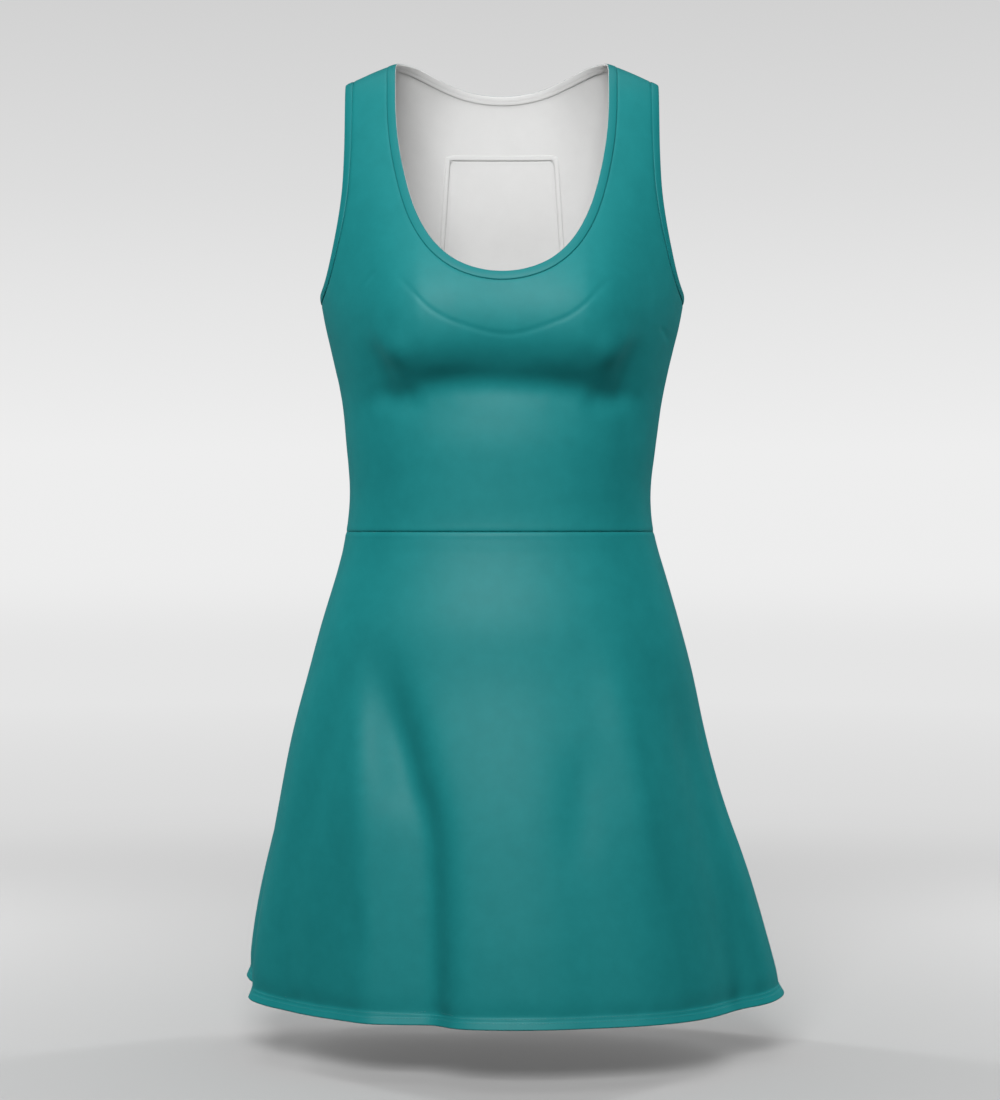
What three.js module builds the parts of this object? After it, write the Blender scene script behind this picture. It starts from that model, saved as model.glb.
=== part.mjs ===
// A sleeveless A-line sports dress in its worn shape, standing open and hollow with no wearer.
// Units are millimetres. +Z is up and the front faces -Y, so the wearer's left is at +X.
// The origin lies midway between the two shoulder straps, at their height.
import * as THREE from "three";

// Cloth and seams
const clothWall = 1.4; // one layer of brushed knit
const panelWall = 1.2; // lighter knit of the centre back panel
const seamGap = 0.3; // between neighbouring pieces
const hemHeight = 10.5; // turned-up hem
const hemProud = 0.35; // the hem stands out this far on both faces of the cloth
const hemTurn = 1.2; // height of the step up to it
const neckBindingWidth = 7.6;
const armBindingWidth = 7;
const binding = { wall: 2.4, edgeWall: 1.2, fold: 1 }; // folded over the cloth's edge

// Body sections from the shoulder ridge down to the hem. Right and left are the half widths on
// the wearer's two sides, front and back the depths before the bust and the folds are added.
const sections = [
  { z: 20, right: 158, left: 158, front: 0, back: 0 },
  { z: 15.5, right: 158, left: 158, front: 17.5, back: 17.5 },
  { z: 2.5, right: 158, left: 158, front: 33, back: 33 },
  { z: -17, right: 158, left: 158, front: 47, back: 47 },
  { z: -43, right: 158, left: 158, front: 60, back: 60 },
  { z: -73, right: 158, left: 158, front: 73, back: 72 },
  { z: -105, right: 157, left: 157, front: 85, back: 82 },
  { z: -137, right: 156, left: 156, front: 95, back: 91 },
  { z: -170, right: 154.5, left: 154.5, front: 101, back: 97 },
  { z: -205, right: 149.5, left: 150, front: 104, back: 99 },
  { z: -240, right: 141.5, left: 141.5, front: 101, back: 97 },
  { z: -275, right: 134, left: 134, front: 95, back: 92 },
  { z: -312, right: 130.5, left: 129, front: 97, back: 87 },
  { z: -350, right: 127.5, left: 124.5, front: 94, back: 84 },
  { z: -385, right: 130.5, left: 127, front: 92, back: 87 },
  { z: -420, right: 138.5, left: 137, front: 97, back: 95 },
  { z: -460, right: 151, left: 148.5, front: 106, back: 108 },
  { z: -505, right: 163, left: 160.5, front: 109, back: 119 },
  { z: -555, right: 176.5, left: 171, front: 117, back: 126 },
  { z: -610, right: 187, left: 186, front: 126, back: 132 },
  { z: -665, right: 197, left: 205, front: 132, back: 138 },
  { z: -720, right: 205, left: 219.5, front: 137, back: 144 },
  { z: -777, right: 210, left: 233.5, front: 139, back: 150 },
];
const waistLevel = 14; // the section that carries the waist seam
const hemLevel = sections.length - 1;
const squareness = 0.03; // how far the sections fill out at their corners

// The shoulder line falls towards the arm, and the drop fades out down the chest and back
const shoulder = { slope: 0.48, start: 72, round: 15, fadeLevel: 8 };

// The back neck stands behind the shoulder line, and the cloth leads back to it over the ridge
const nape = { depth: 52, halfWidth: 77, fadeBack: 7, fadeFront: 3 };

// Bust room of the front, a general form: two cups bridged by the cloth between them
const bust = {
  depth: 28,
  apexX: 79,
  apexZ: -216,
  bridge: 0.64,
  outer: 43,
  above: 78,
  below: 48,
  belowBridge: 36,
  sideFade: 7,
};

// Folds of the skirt. Angle runs round the body from the centre front, positive on the wearer's
// left. Reach is how far the fold stands out, or in if negative, at the hem, and spread its
// half width in degrees. It starts at level top, moved round by drift.
const folds = [
  { angle: 6, reach: 5, spread: 15, top: 16, drift: 0 },
  { angle: -26, reach: -10, spread: 10, top: 15.5, drift: -6 },
  { angle: -48, reach: -20, spread: 23, top: 16.5, drift: 0 },
  { angle: -84, reach: 4, spread: 7, top: 19, drift: 0 },
  { angle: -101, reach: -14, spread: 8, top: 18.5, drift: 0 },
  { angle: -118, reach: 37, spread: 14, top: 17, drift: 4 },
  { angle: -152, reach: -15, spread: 13, top: 16, drift: 3 },
  { angle: 178, reach: 9, spread: 15, top: 15.5, drift: 0 },
  { angle: 146, reach: -13, spread: 12, top: 16, drift: -3 },
  { angle: 116, reach: 5, spread: 12, top: 17, drift: 0 },
  { angle: 96, reach: 5, spread: 10, top: 19, drift: 0 },
  { angle: 58, reach: -20, spread: 17, top: 16.5, drift: 0 },
  { angle: 19, reach: -2.5, spread: 6, top: 17, drift: -2 },
];
const hemLift = 0.1; // cloth that flares out further hangs this share of the reach higher

// Opening edge of the neckline, from beside the centre front up to the shoulder
const neckFront = [
  { x: 0, z: -177.5 },
  { x: 20, z: -175 },
  { x: 38.5, z: -167.5 },
  { x: 51, z: -157 },
  { x: 60, z: -145.5 },
  { x: 69.5, z: -127 },
  { x: 76, z: -107 },
  { x: 81, z: -86 },
  { x: 85, z: -64 },
  { x: 87.2, z: -42 },
  { x: 88, z: -20 },
];
const neckPointX = 86.5;

// and from the shoulder down to the centre back
const neckBack = [
  { x: 76, z: 13.4 },
  { x: 67, z: 11.6 },
  { x: 58, z: 9 },
  { x: 46, z: 4.2 },
  { x: 25, z: -1.6 },
  { x: 0, z: -4 },
];

// Opening edge of the armhole, from the underarm up the front to the shoulder
const armFront = [
  { angle: 90, z: -187 },
  { angle: 79, z: -184.5 },
  { angle: 71, z: -178.5 },
  { angle: 64.5, z: -165 },
  { angle: 60, z: -146 },
  { angle: 56.5, z: -124 },
  { angle: 54.2, z: -100 },
  { angle: 53.4, z: -70 },
  { angle: 53.6, z: -40 },
];
const shoulderPointX = 131.5;

// and from the shoulder down the back to the underarm
const armBack = [
  { angle: 53.2, z: -40 },
  { angle: 51.6, z: -70 },
  { angle: 51, z: -100 },
  { angle: 52.4, z: -128 },
  { angle: 57, z: -151 },
  { angle: 65, z: -170 },
  { angle: 76, z: -183 },
  { angle: 90, z: -187 },
];

// Angles at which the cut edges turn from across the body to up the straps
const turnAngles = { neck: 26, armBack: 60, armFront: 63 };

// Edge of the centre back panel, from its top corner down to the waist seam
const panelEdge = [
  { z: -58.5, half: 46 },
  { z: -135, half: 51.5 },
  { z: -260, half: 57 },
  { z: -385, half: 60 },
];

// How many faces each stretch of a piece gets
const faces = {
  neckToStrap: 7, // centre front to the turn of the neckline
  strap: 5, // across a strap
  underarm: 5, // turn of the armhole to the side seam
  frontRows: 15, // waist seam to the turn of the neckline
  strapRows: 12, // from there to the shoulder
  halfPanel: 4, // centre back to the edge of the back panel
  backSide: 9, // from there to the armhole
  backNeck: 8, // centre back to the shoulder
  backRows: 13, // waist seam to the turn of the armhole
  besidePanelRows: 5, // from there to the top of the back panel
  yokeRows: 5, // from there to the shoulder
  skirtColumns: 44,
  skirtRows: 15,
};

const radians = Math.PI / 180;
const clamp01 = (t) => Math.min(1, Math.max(0, t));
const smooth = (t) => clamp01(t) ** 2 * (3 - 2 * clamp01(t));
const mix = (a, b, t) => a + (b - a) * t;

// Catmull-Rom through four values, from b at t 0 to c at t 1
function spline(a, b, c, d, t) {
  const slopeIn = (c - a) / 2;
  const slopeOut = (d - b) / 2;
  const bend = 2 * (b - c) + slopeIn + slopeOut;
  const pull = 3 * (c - b) - 2 * slopeIn - slopeOut;
  return ((bend * t + pull) * t + slopeIn) * t + b;
}

// One column of the section table at any level. Above the ridge the table runs on mirrored,
// with the depths turned negative, so that front and back join smoothly there.
function sectionValue(name, level) {
  const isDepth = name === "front" || name === "back";
  const row = (i) => {
    if (i < 0) return (isDepth ? -1 : 1) * sections[-i][name];
    if (i > hemLevel) return 2 * sections[hemLevel][name] - sections[2 * hemLevel - i][name];
    return sections[i][name];
  };
  const i = Math.min(Math.floor(level), hemLevel);
  return spline(row(i - 1), row(i), row(i + 1), row(i + 2), level - i);
}

function shoulderDrop(x, level) {
  const beyond = Math.abs(x) - shoulder.start;
  const ramp = (Math.hypot(beyond, shoulder.round) + beyond) / 2;
  return shoulder.slope * ramp * (1 - smooth(level / shoulder.fadeLevel));
}

function napeShift(x, level) {
  const fadeLevel = level > 0 ? nape.fadeFront : -nape.fadeBack;
  return nape.depth * Math.exp(-((x / nape.halfWidth) ** 4)) * (1 - smooth(level / fadeLevel));
}

function bustDepth(x, z) {
  const fromApex = Math.abs(x) - bust.apexX;
  const between = fromApex > 0 ? 1 : smooth(Math.abs(x) / bust.apexX);
  const across = fromApex > 0 ? Math.exp(-((fromApex / bust.outer) ** 2)) : mix(bust.bridge, 1, between);
  const rise = z - bust.apexZ;
  const drop = mix(bust.belowBridge, bust.below, between);
  const upright = rise > 0 ? Math.exp(-((rise / bust.above) ** 2)) : Math.exp(-((-rise / drop) ** 3));
  return bust.depth * across * upright;
}

// How far the skirt stands out of its section, at an angle round the whole body
function foldReach(around, level) {
  let reach = 0;
  for (const fold of folds) {
    const grown = smooth((level - fold.top) / (hemLevel - fold.top));
    let turn = around - fold.angle - fold.drift * (1 - grown);
    turn -= 360 * Math.round(turn / 360);
    reach += fold.reach * grown * Math.exp(-((turn / fold.spread) ** 2));
  }
  return reach;
}

// The middle of the cloth. Angle runs from -90 to 90 between the side seams. Level counts the
// sections, positive down the front, zero on the shoulder ridge and negative down the back.
function bodyPoint(angle, level) {
  if (Math.abs(angle) > 90) return bodyPoint(Math.sign(angle) * 180 - angle, -level);
  const down = Math.abs(level);
  const isFront = level >= 0;
  const sin = Math.sin(angle * radians);
  const cos = Math.cos(angle * radians);
  const halfWidth = sectionValue(sin < 0 ? "right" : "left", down);
  const depth = sectionValue(isFront ? "front" : "back", down);
  const corner = 1 + squareness * Math.sin(2 * angle * radians) ** 2;
  let x = halfWidth * sin * corner;
  let z = sectionValue("z", down) - shoulderDrop(x, down);
  let out = depth * cos * corner;
  if (isFront) out += bustDepth(x, z) * (1 - Math.abs(sin) ** bust.sideFade);
  let y = (isFront ? -out : out) + napeShift(x, level);
  if (down > waistLevel) {
    const around = isFront ? angle : (angle < 0 ? -180 : 180) - angle;
    const reach = foldReach(around, down);
    const facingX = sin / halfWidth;
    const facingY = (isFront ? -cos : cos) / depth;
    const length = Math.hypot(facingX, facingY);
    x += (reach * facingX) / length;
    y += (reach * facingY) / length;
    z += hemLift * reach;
  }
  return new THREE.Vector3(x, y, z);
}

// Slopes of the cloth at a place, and its outward normal
function bodyFrame({ angle, level }) {
  const stepAngle = 0.05;
  const stepLevel = 0.005;
  const alongAngle = bodyPoint(angle + stepAngle, level)
    .sub(bodyPoint(angle - stepAngle, level))
    .divideScalar(2 * stepAngle);
  const alongLevel = bodyPoint(angle, level + stepLevel)
    .sub(bodyPoint(angle, level - stepLevel))
    .divideScalar(2 * stepLevel);
  const normal = alongLevel.clone().cross(alongAngle).normalize();
  return { alongAngle, alongLevel, normal };
}

const offCloth = (place, height) =>
  bodyPoint(place.angle, place.level).addScaledVector(bodyFrame(place).normal, height);

// Where between low and high a falling function comes down to a target
function solve(falling, target, low, high) {
  let from = low;
  let to = high;
  for (let i = 0; i < 40; i++) {
    const middle = (from + to) / 2;
    if (falling(middle) > target) from = middle;
    else to = middle;
  }
  return (from + to) / 2;
}

const angleAtX = (x, level) => solve((angle) => -bodyPoint(angle, level).x, -x, 0, 90);
const levelAtZ = (angle, z, side) =>
  side * solve((down) => bodyPoint(angle, side * down).z, z, 0, waistLevel);

// A place on the front (side 1) or the back (side -1) from where it lies in the front view
function placeAtXZ({ x, z }, side) {
  let angle = angleAtX(x, side * waistLevel);
  for (let i = 0; i < 12; i++) angle = angleAtX(x, levelAtZ(angle, z, side));
  return { angle, level: levelAtZ(angle, z, side) };
}

const mirrored = ({ angle, level }) => ({ angle: -angle, level });

// A smooth line through places on the cloth, as a function of 0 to 1
function lineThrough(places, isClosed) {
  const anglePerLevel = 7; // weighs the two coordinates alike in the curve
  const curve = new THREE.CatmullRomCurve3(
    places.map(({ angle, level }) => new THREE.Vector3(angle / anglePerLevel, level, 0)),
    isClosed,
    "centripetal",
  );
  return (t) => {
    const point = curve.getPointAt(isClosed ? (t + 1) % 1 : clamp01(t));
    return { angle: point.x * anglePerLevel, level: point.y };
  };
}

// The place beside a line, at a distance along the cloth. The positive side is the one to the
// left of the line's heading, seen from outside.
function beside(line, t, distance) {
  const stepT = 0.003;
  const place = line(t);
  const before = line(t - stepT);
  const after = line(t + stepT);
  const { alongAngle, alongLevel, normal } = bodyFrame(place);
  const heading = alongAngle.clone().multiplyScalar(after.angle - before.angle);
  heading.addScaledVector(alongLevel, after.level - before.level).normalize();
  const sideways = normal.clone().cross(heading).multiplyScalar(distance);
  const angleAngle = alongAngle.dot(alongAngle);
  const angleLevel = alongAngle.dot(alongLevel);
  const levelLevel = alongLevel.dot(alongLevel);
  const area = angleAngle * levelLevel - angleLevel ** 2;
  const sideAngle = sideways.dot(alongAngle);
  const sideLevel = sideways.dot(alongLevel);
  return {
    angle: place.angle + (sideAngle * levelLevel - sideLevel * angleLevel) / area,
    level: place.level + (sideLevel * angleAngle - sideAngle * angleLevel) / area,
  };
}

// The neckline runs round from the centre front over the wearer's left shoulder. The armhole
// runs from the underarm up the back and down the front. Both have the opening on their left.
const neckHalf = [
  ...neckFront.map((point) => placeAtXZ(point, 1)),
  { angle: angleAtX(neckPointX, 0), level: 0 },
  ...neckBack.map((point) => placeAtXZ(point, -1)),
];
const neckline = lineThrough([...neckHalf, ...neckHalf.slice(1, -1).reverse().map(mirrored)], true);
const armPlaces = [
  ...armBack.map(({ angle, z }) => ({ angle, level: levelAtZ(angle, z, -1) })).reverse(),
  { angle: angleAtX(shoulderPointX, 0), level: 0 },
  ...armFront.map(({ angle, z }) => ({ angle, level: levelAtZ(angle, z, 1) })).reverse(),
];
const pastUnderarm = ({ angle, level }) => ({ angle: 180 - angle, level: -level });
const armholeRun = lineThrough([
  pastUnderarm(armPlaces.at(-2)),
  ...armPlaces,
  pastUnderarm(armPlaces[1]),
]);
const runStart = solve((t) => armholeRun(t).angle, 90, 0, 0.3);
const runEnd = solve((t) => -armholeRun(t).angle, -90, 0.7, 1);
const armhole = (t) => armholeRun(mix(runStart, runEnd, t));

// Cut edges of the panels, just outside the bindings and half a gap away from each seam
const neckCut = (t) => beside(neckline, t, -neckBindingWidth - seamGap);
const armCut = (t) => beside(armhole, t, -armBindingWidth - seamGap);

// Where the cut edges turn up the straps, and where they meet the shoulder seam
const neckTurn = solve((t) => -neckCut(t).angle, -turnAngles.neck, 0, 0.25);
const neckShoulder = solve((t) => neckCut(t).level, 0, neckTurn, 0.45);
const armBackTurn = solve((t) => armCut(t).angle, turnAngles.armBack, 0, 0.25);
const armShoulder = solve((t) => -armCut(t).level, 0, 0.3, 0.7);
const panelTopLevel = levelAtZ(0, panelEdge[0].z, -1);
const armPanelTop = solve((t) => -armCut(t).level, -panelTopLevel, armBackTurn, armShoulder);
const armFrontTurn = solve((t) => -armCut(t).angle, -turnAngles.armFront, 0.7, 1);
const ridgeStep = seamGap / 2 / bodyFrame({ angle: 45, level: 0 }).alongLevel.length();
const waistStep = seamGap / 2 / bodyFrame({ angle: 0, level: waistLevel }).alongLevel.length();
const sideCut = (level) => {
  const { alongAngle } = bodyFrame({ angle: 90, level });
  return { angle: 90 - seamGap / 2 / alongAngle.length(), level };
};

// Places from one side of a row to the other
const between = (from, to, count) =>
  Array.from({ length: count + 1 }, (_, i) => ({
    angle: mix(from.angle, to.angle, i / count),
    level: mix(from.level, to.level, i / count),
  }));

const steps = (from, to, count) => Array.from({ length: count + 1 }, (_, i) => mix(from, to, i / count));
const along = (line, from, to, count) => steps(from, to, count).map(line);

// A grid of places between four edges. Bottom and top run the same way, and left and right
// run from the bottom to the top.
function fill(bottom, top, left, right) {
  const columns = bottom.length - 1;
  const rows = left.length - 1;
  return left.map((_, j) =>
    bottom.map((_, i) => {
      const u = i / columns;
      const v = j / rows;
      const blend = (name) =>
        mix(bottom[i][name], top[i][name], v) +
        mix(left[j][name], right[j][name], u) -
        mix(mix(bottom[0][name], bottom[columns][name], u), mix(top[0][name], top[columns][name], u), v);
      return { angle: blend("angle"), level: blend("level") };
    }),
  );
}

const mirroredGrid = (grid) => grid.map((row) => row.map(mirrored));

function solidGeometry(points, triangles) {
  const geometry = new THREE.BufferGeometry();
  geometry.setAttribute("position", new THREE.Float32BufferAttribute(points.flatMap((p) => [...p]), 3));
  geometry.setIndex(triangles);
  geometry.computeVertexNormals();
  return geometry;
}

// A wall of cloth over grids of places, with both faces and a rim along every free edge.
// faceHeights gives the heights of the two faces over the middle of the cloth at a place.
function wallOver(grids, faceHeights) {
  const places = [];
  const numbers = new Map();
  const numberOf = (place) => {
    const key = `${Math.round(place.angle * 1e4)} ${Math.round(place.level * 1e5)}`;
    if (!numbers.has(key)) numbers.set(key, places.push(place) - 1);
    return numbers.get(key);
  };
  const quads = [];
  for (const grid of grids) {
    const [start, next, up] = [grid[0][0], grid[0][1], grid[1][0]];
    const facesIn =
      (next.angle - start.angle) * (up.level - start.level) -
        (next.level - start.level) * (up.angle - start.angle) >
      0;
    for (let j = 0; j + 1 < grid.length; j++) {
      for (let i = 0; i + 1 < grid[j].length; i++) {
        const quad = [grid[j][i], grid[j][i + 1], grid[j + 1][i + 1], grid[j + 1][i]].map(numberOf);
        quads.push(facesIn ? quad.reverse() : quad);
      }
    }
  }
  const outer = places.map((place) => offCloth(place, faceHeights(place)[0]));
  const inner = places.map((place) => offCloth(place, faceHeights(place)[1]));
  const below = places.length; // the inner points are numbered after the outer ones
  const triangles = [];
  const edges = new Set(quads.flatMap((quad) => quad.map((a, k) => `${a} ${quad[(k + 1) % 4]}`)));
  for (const [a, b, c, d] of quads) {
    const diagonalA = outer[a].distanceTo(outer[c]);
    const diagonalB = outer[b].distanceTo(outer[d]);
    const halves = diagonalA < diagonalB ? [[a, b, c], [a, c, d]] : [[a, b, d], [b, c, d]];
    for (const [p, q, r] of halves) triangles.push(p, q, r, below + r, below + q, below + p);
    for (const [p, q] of [[a, b], [b, c], [c, d], [d, a]]) {
      if (edges.has(`${q} ${p}`)) continue;
      triangles.push(q, p, below + p, q, below + p, below + q);
    }
  }
  return solidGeometry([...outer, ...inner], triangles);
}

// A binding folded over an opening edge, closed through the stops along it. The width is
// negative where the cloth is on the right of the line.
function bindingAlong(line, width, stops) {
  const side = Math.sign(width);
  const profile = [
    { across: 0, height: binding.edgeWall / 2 },
    { across: side * binding.fold, height: binding.wall / 2 },
    { across: width, height: binding.wall / 2 },
    { across: width, height: -binding.wall / 2 },
    { across: side * binding.fold, height: -binding.wall / 2 },
    { across: 0, height: -binding.edgeWall / 2 },
  ];
  const points = [];
  const triangles = [];
  stops.forEach((t, i) => {
    const ring = i * profile.length;
    const nextRing = ((i + 1) % stops.length) * profile.length;
    profile.forEach(({ across, height }, k) => {
      points.push(offCloth(beside(line, t, across), height));
      const k2 = (k + 1) % profile.length;
      const quad = [ring + k, ring + k2, nextRing + k2, nextRing + k];
      if (side > 0) quad.reverse();
      const [a, b, c, d] = quad;
      triangles.push(a, b, c, a, c, d);
    });
  });
  return solidGeometry(points, triangles);
}

// The bindings bend at the same places as the panels' edges, so the gap stays even
const neckHalfStops = [
  ...steps(0, neckTurn, faces.neckToStrap),
  ...steps(neckTurn, neckShoulder, faces.strapRows).slice(1),
  ...steps(neckShoulder, 0.5, faces.backNeck).slice(1),
];
const neckStops = [...neckHalfStops, ...neckHalfStops.slice(1, -1).reverse().map((t) => 1 - t)];
const armholeStops = [
  ...steps(0, armBackTurn, faces.underarm),
  ...steps(armBackTurn, armPanelTop, faces.besidePanelRows).slice(1),
  ...steps(armPanelTop, armShoulder, faces.yokeRows).slice(1),
  ...steps(armShoulder, armFrontTurn, faces.strapRows).slice(1),
  ...steps(armFrontTurn, 1, faces.underarm).slice(1, -1),
];

const onSeam = (places, level) => [...places.slice(0, -1), { ...places.at(-1), level }];

// Places along the waist seam under a row, from a start to the side seam, drawn half way from
// those of the row to an even spacing
function waistUnder(row, start) {
  const last = row.length - 1;
  const shift = start.angle - row[0].angle;
  return between(start, sideCut(start.level), last).map(({ angle, level }, i) => {
    const above = row[i].angle + shift * (1 - i / last);
    return { angle: i === last ? angle : mix(above, angle, 0.5), level };
  });
}

// Front bodice: its lower part is a grid on each side of the centre, with a strap above it
function frontGrids() {
  const strapFoot = between(neckCut(neckTurn), armCut(armFrontTurn), faces.strap);
  const top = [
    ...along(neckCut, 0, neckTurn, faces.neckToStrap),
    ...strapFoot.slice(1),
    ...along(armCut, armFrontTurn, 1, faces.underarm).slice(1),
  ];
  const waist = waistLevel - waistStep;
  const sideSeam = steps(waist, top.at(-1).level, faces.frontRows).map(sideCut);
  top[top.length - 1] = sideSeam.at(-1);
  const bottom = waistUnder(top, { angle: 0, level: waist });
  const lower = fill(bottom, top, between(bottom[0], top[0], faces.frontRows), sideSeam);
  const neckSide = onSeam(along(neckCut, neckTurn, neckShoulder, faces.strapRows), ridgeStep);
  const armSide = onSeam(along(armCut, armFrontTurn, armShoulder, faces.strapRows), ridgeStep);
  const strap = fill(strapFoot, between(neckSide.at(-1), armSide.at(-1), faces.strap), neckSide, armSide);
  return [lower, strap, mirroredGrid(lower), mirroredGrid(strap)];
}

// The seam beside the centre back panel, from the waist up to the panel's corner. Side is 1 for
// the bodice's edge and -1 for the panel's.
const panelSeam = lineThrough(panelEdge.map(({ z, half }) => placeAtXZ({ x: half, z }, -1)).reverse());
const panelSeamTurn = solve((t) => -panelSeam(t).level, -armCut(armBackTurn).level, 0, 1);
function panelSeamSide(side) {
  const edge = (t) => beside(panelSeam, t, (side * seamGap) / 2);
  const rows = [
    ...along(edge, 0, panelSeamTurn, faces.backRows),
    ...along(edge, panelSeamTurn, 1, faces.besidePanelRows).slice(1),
  ];
  const topStep = seamGap / 2 / bodyFrame({ angle: 0, level: panelTopLevel }).alongLevel.length();
  rows[0] = { ...rows[0], level: waistStep - waistLevel };
  return onSeam(rows, panelTopLevel + side * topStep);
}

// Back bodice: a grid on each side of the centre panel, one above it beside the armhole, and
// the yoke across
function backGrids() {
  const seam = panelSeamSide(1);
  const turn = seam[faces.backRows];
  const cross = between(turn, armCut(armBackTurn), faces.backSide);
  const top = [...cross, ...along(armCut, armBackTurn, 0, faces.underarm).slice(1)];
  const waist = waistStep - waistLevel;
  const sideSeam = steps(waist, top.at(-1).level, faces.backRows).map(sideCut);
  top[top.length - 1] = sideSeam.at(-1);
  const lower = fill(waistUnder(top, seam[0]), top, seam.slice(0, faces.backRows + 1), sideSeam);

  const armBeside = onSeam(along(armCut, armBackTurn, armPanelTop, faces.besidePanelRows), seam.at(-1).level);
  const yokeFoot = between(seam.at(-1), armBeside.at(-1), faces.backSide);
  const beside = fill(cross, yokeFoot, seam.slice(faces.backRows), armBeside);

  const armSide = onSeam(along(armCut, armPanelTop, armShoulder, faces.yokeRows), -ridgeStep);
  armSide[0] = armBeside.at(-1);
  const neckSide = onSeam(along(neckCut, 0.5, neckShoulder, faces.backNeck), -ridgeStep);
  const shoulderSeam = between(neckSide.at(-1), armSide.at(-1), faces.strap);
  const centreSide = between({ angle: 0, level: seam.at(-1).level }, neckSide[0], faces.yokeRows);
  const foot = [...between(centreSide[0], yokeFoot[0], faces.halfPanel), ...yokeFoot.slice(1)];
  const yoke = fill(foot, [...neckSide, ...shoulderSeam.slice(1)], centreSide, armSide);
  return [lower, beside, yoke, ...[lower, beside, yoke].map(mirroredGrid)];
}

// Centre back panel, set into the back bodice
function panelGrid() {
  return panelSeamSide(-1).map((edge) => between(mirrored(edge), edge, 2 * faces.halfPanel));
}

// Level of the hem's upper edge on the front (side 1) or the back (side -1), and how much
// level a millimetre takes there
function hemEdge(side) {
  const slope = bodyFrame({ angle: 0, level: side * (hemLevel - 0.1) }).alongLevel;
  const perMillimetre = 1 / slope.length();
  return { level: hemLevel - hemHeight * perMillimetre, perMillimetre };
}

// One skirt panel, on the front (side 1) or the back (side -1)
function skirtGrid(side) {
  const { level: hemTop, perMillimetre } = hemEdge(side);
  const rowLevels = [
    ...steps(waistLevel + waistStep, hemTop, faces.skirtRows),
    hemTop + hemTurn * perMillimetre,
    hemLevel,
  ];
  return rowLevels.map((level) => {
    const end = sideCut(side * level);
    return between(mirrored(end), end, faces.skirtColumns);
  });
}

const clothFaces = () => [clothWall / 2, -clothWall / 2];
const panelFaces = () => [panelWall / 2, -panelWall / 2];
function skirtFaces({ level }) {
  const { level: hemTop, perMillimetre } = hemEdge(Math.sign(level));
  const isHem = Math.abs(level) > hemTop + (hemTurn / 2) * perMillimetre;
  const half = clothWall / 2 + (isHem ? hemProud : 0);
  return [half, -half];
}

const tealKnit = { color: 0x2f8486, roughness: 0.55, metalness: 0 };
const tealBinding = { color: 0x2b7f82, roughness: 0.55, metalness: 0 };
const lightKnit = { color: 0x33888a, roughness: 0.6, metalness: 0 };

const dress = new THREE.Group();
function addPiece(name, geometry, finish) {
  const piece = new THREE.Mesh(geometry, new THREE.MeshStandardMaterial(finish));
  piece.name = name;
  dress.add(piece);
}

addPiece("front_bodice", wallOver(frontGrids(), clothFaces), tealKnit);
addPiece("back_bodice", wallOver(backGrids(), clothFaces), tealKnit);
addPiece("skirt_front", wallOver([skirtGrid(1)], skirtFaces), tealKnit);
addPiece("skirt_back", wallOver([skirtGrid(-1)], skirtFaces), tealKnit);
addPiece("neck_binding", bindingAlong(neckline, -neckBindingWidth, neckStops), tealBinding);
addPiece("armhole_binding_left", bindingAlong(armhole, -armBindingWidth, armholeStops), tealBinding);
addPiece(
  "armhole_binding_right",
  bindingAlong((t) => mirrored(armhole(t)), armBindingWidth, armholeStops),
  tealBinding,
);
addPiece("back_panel", wallOver([panelGrid()], panelFaces), lightKnit);

export default dress;
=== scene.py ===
# A sleeveless A-line sports dress in its worn shape, hanging free with no wearer
import math

import bpy
import numpy as np
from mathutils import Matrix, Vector, noise
from mathutils.bvhtree import BVHTree
from mathutils.kdtree import KDTree


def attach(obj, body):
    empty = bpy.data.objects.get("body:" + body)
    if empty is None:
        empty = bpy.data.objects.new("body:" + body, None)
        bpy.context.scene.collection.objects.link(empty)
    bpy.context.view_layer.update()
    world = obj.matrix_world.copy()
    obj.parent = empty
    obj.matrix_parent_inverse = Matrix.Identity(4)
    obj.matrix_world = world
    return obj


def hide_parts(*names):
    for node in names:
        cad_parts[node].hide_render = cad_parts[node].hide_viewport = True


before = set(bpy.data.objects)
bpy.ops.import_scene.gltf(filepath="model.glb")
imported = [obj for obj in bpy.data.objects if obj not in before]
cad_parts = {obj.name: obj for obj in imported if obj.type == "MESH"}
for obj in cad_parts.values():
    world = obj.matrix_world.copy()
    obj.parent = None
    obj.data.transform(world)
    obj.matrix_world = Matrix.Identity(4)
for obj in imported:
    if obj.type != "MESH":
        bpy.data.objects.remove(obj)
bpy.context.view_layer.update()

mm = 0.001


# Camera, floor and light come first

view = {
    "distance": 2.0,  # from the middle of the dress
    "height": -0.385,  # level with the waist seam
    "side": -0.0017,  # the middle of the photo lies just beside that of the dress
    "lookDown": 0.0152,  # how far below its own height it looks at that distance
    "lens": 77.47,
}


def placeCamera():
    data = bpy.data.cameras.new("camera")
    data.lens = view["lens"]
    camera = bpy.data.objects.new("camera", data)
    bpy.context.scene.collection.objects.link(camera)
    camera.location = (view["side"], -view["distance"], view["height"])
    down = math.atan2(view["lookDown"], view["distance"])
    camera.rotation_euler = (math.radians(90) - down, 0, 0)
    bpy.context.scene.camera = camera


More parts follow.
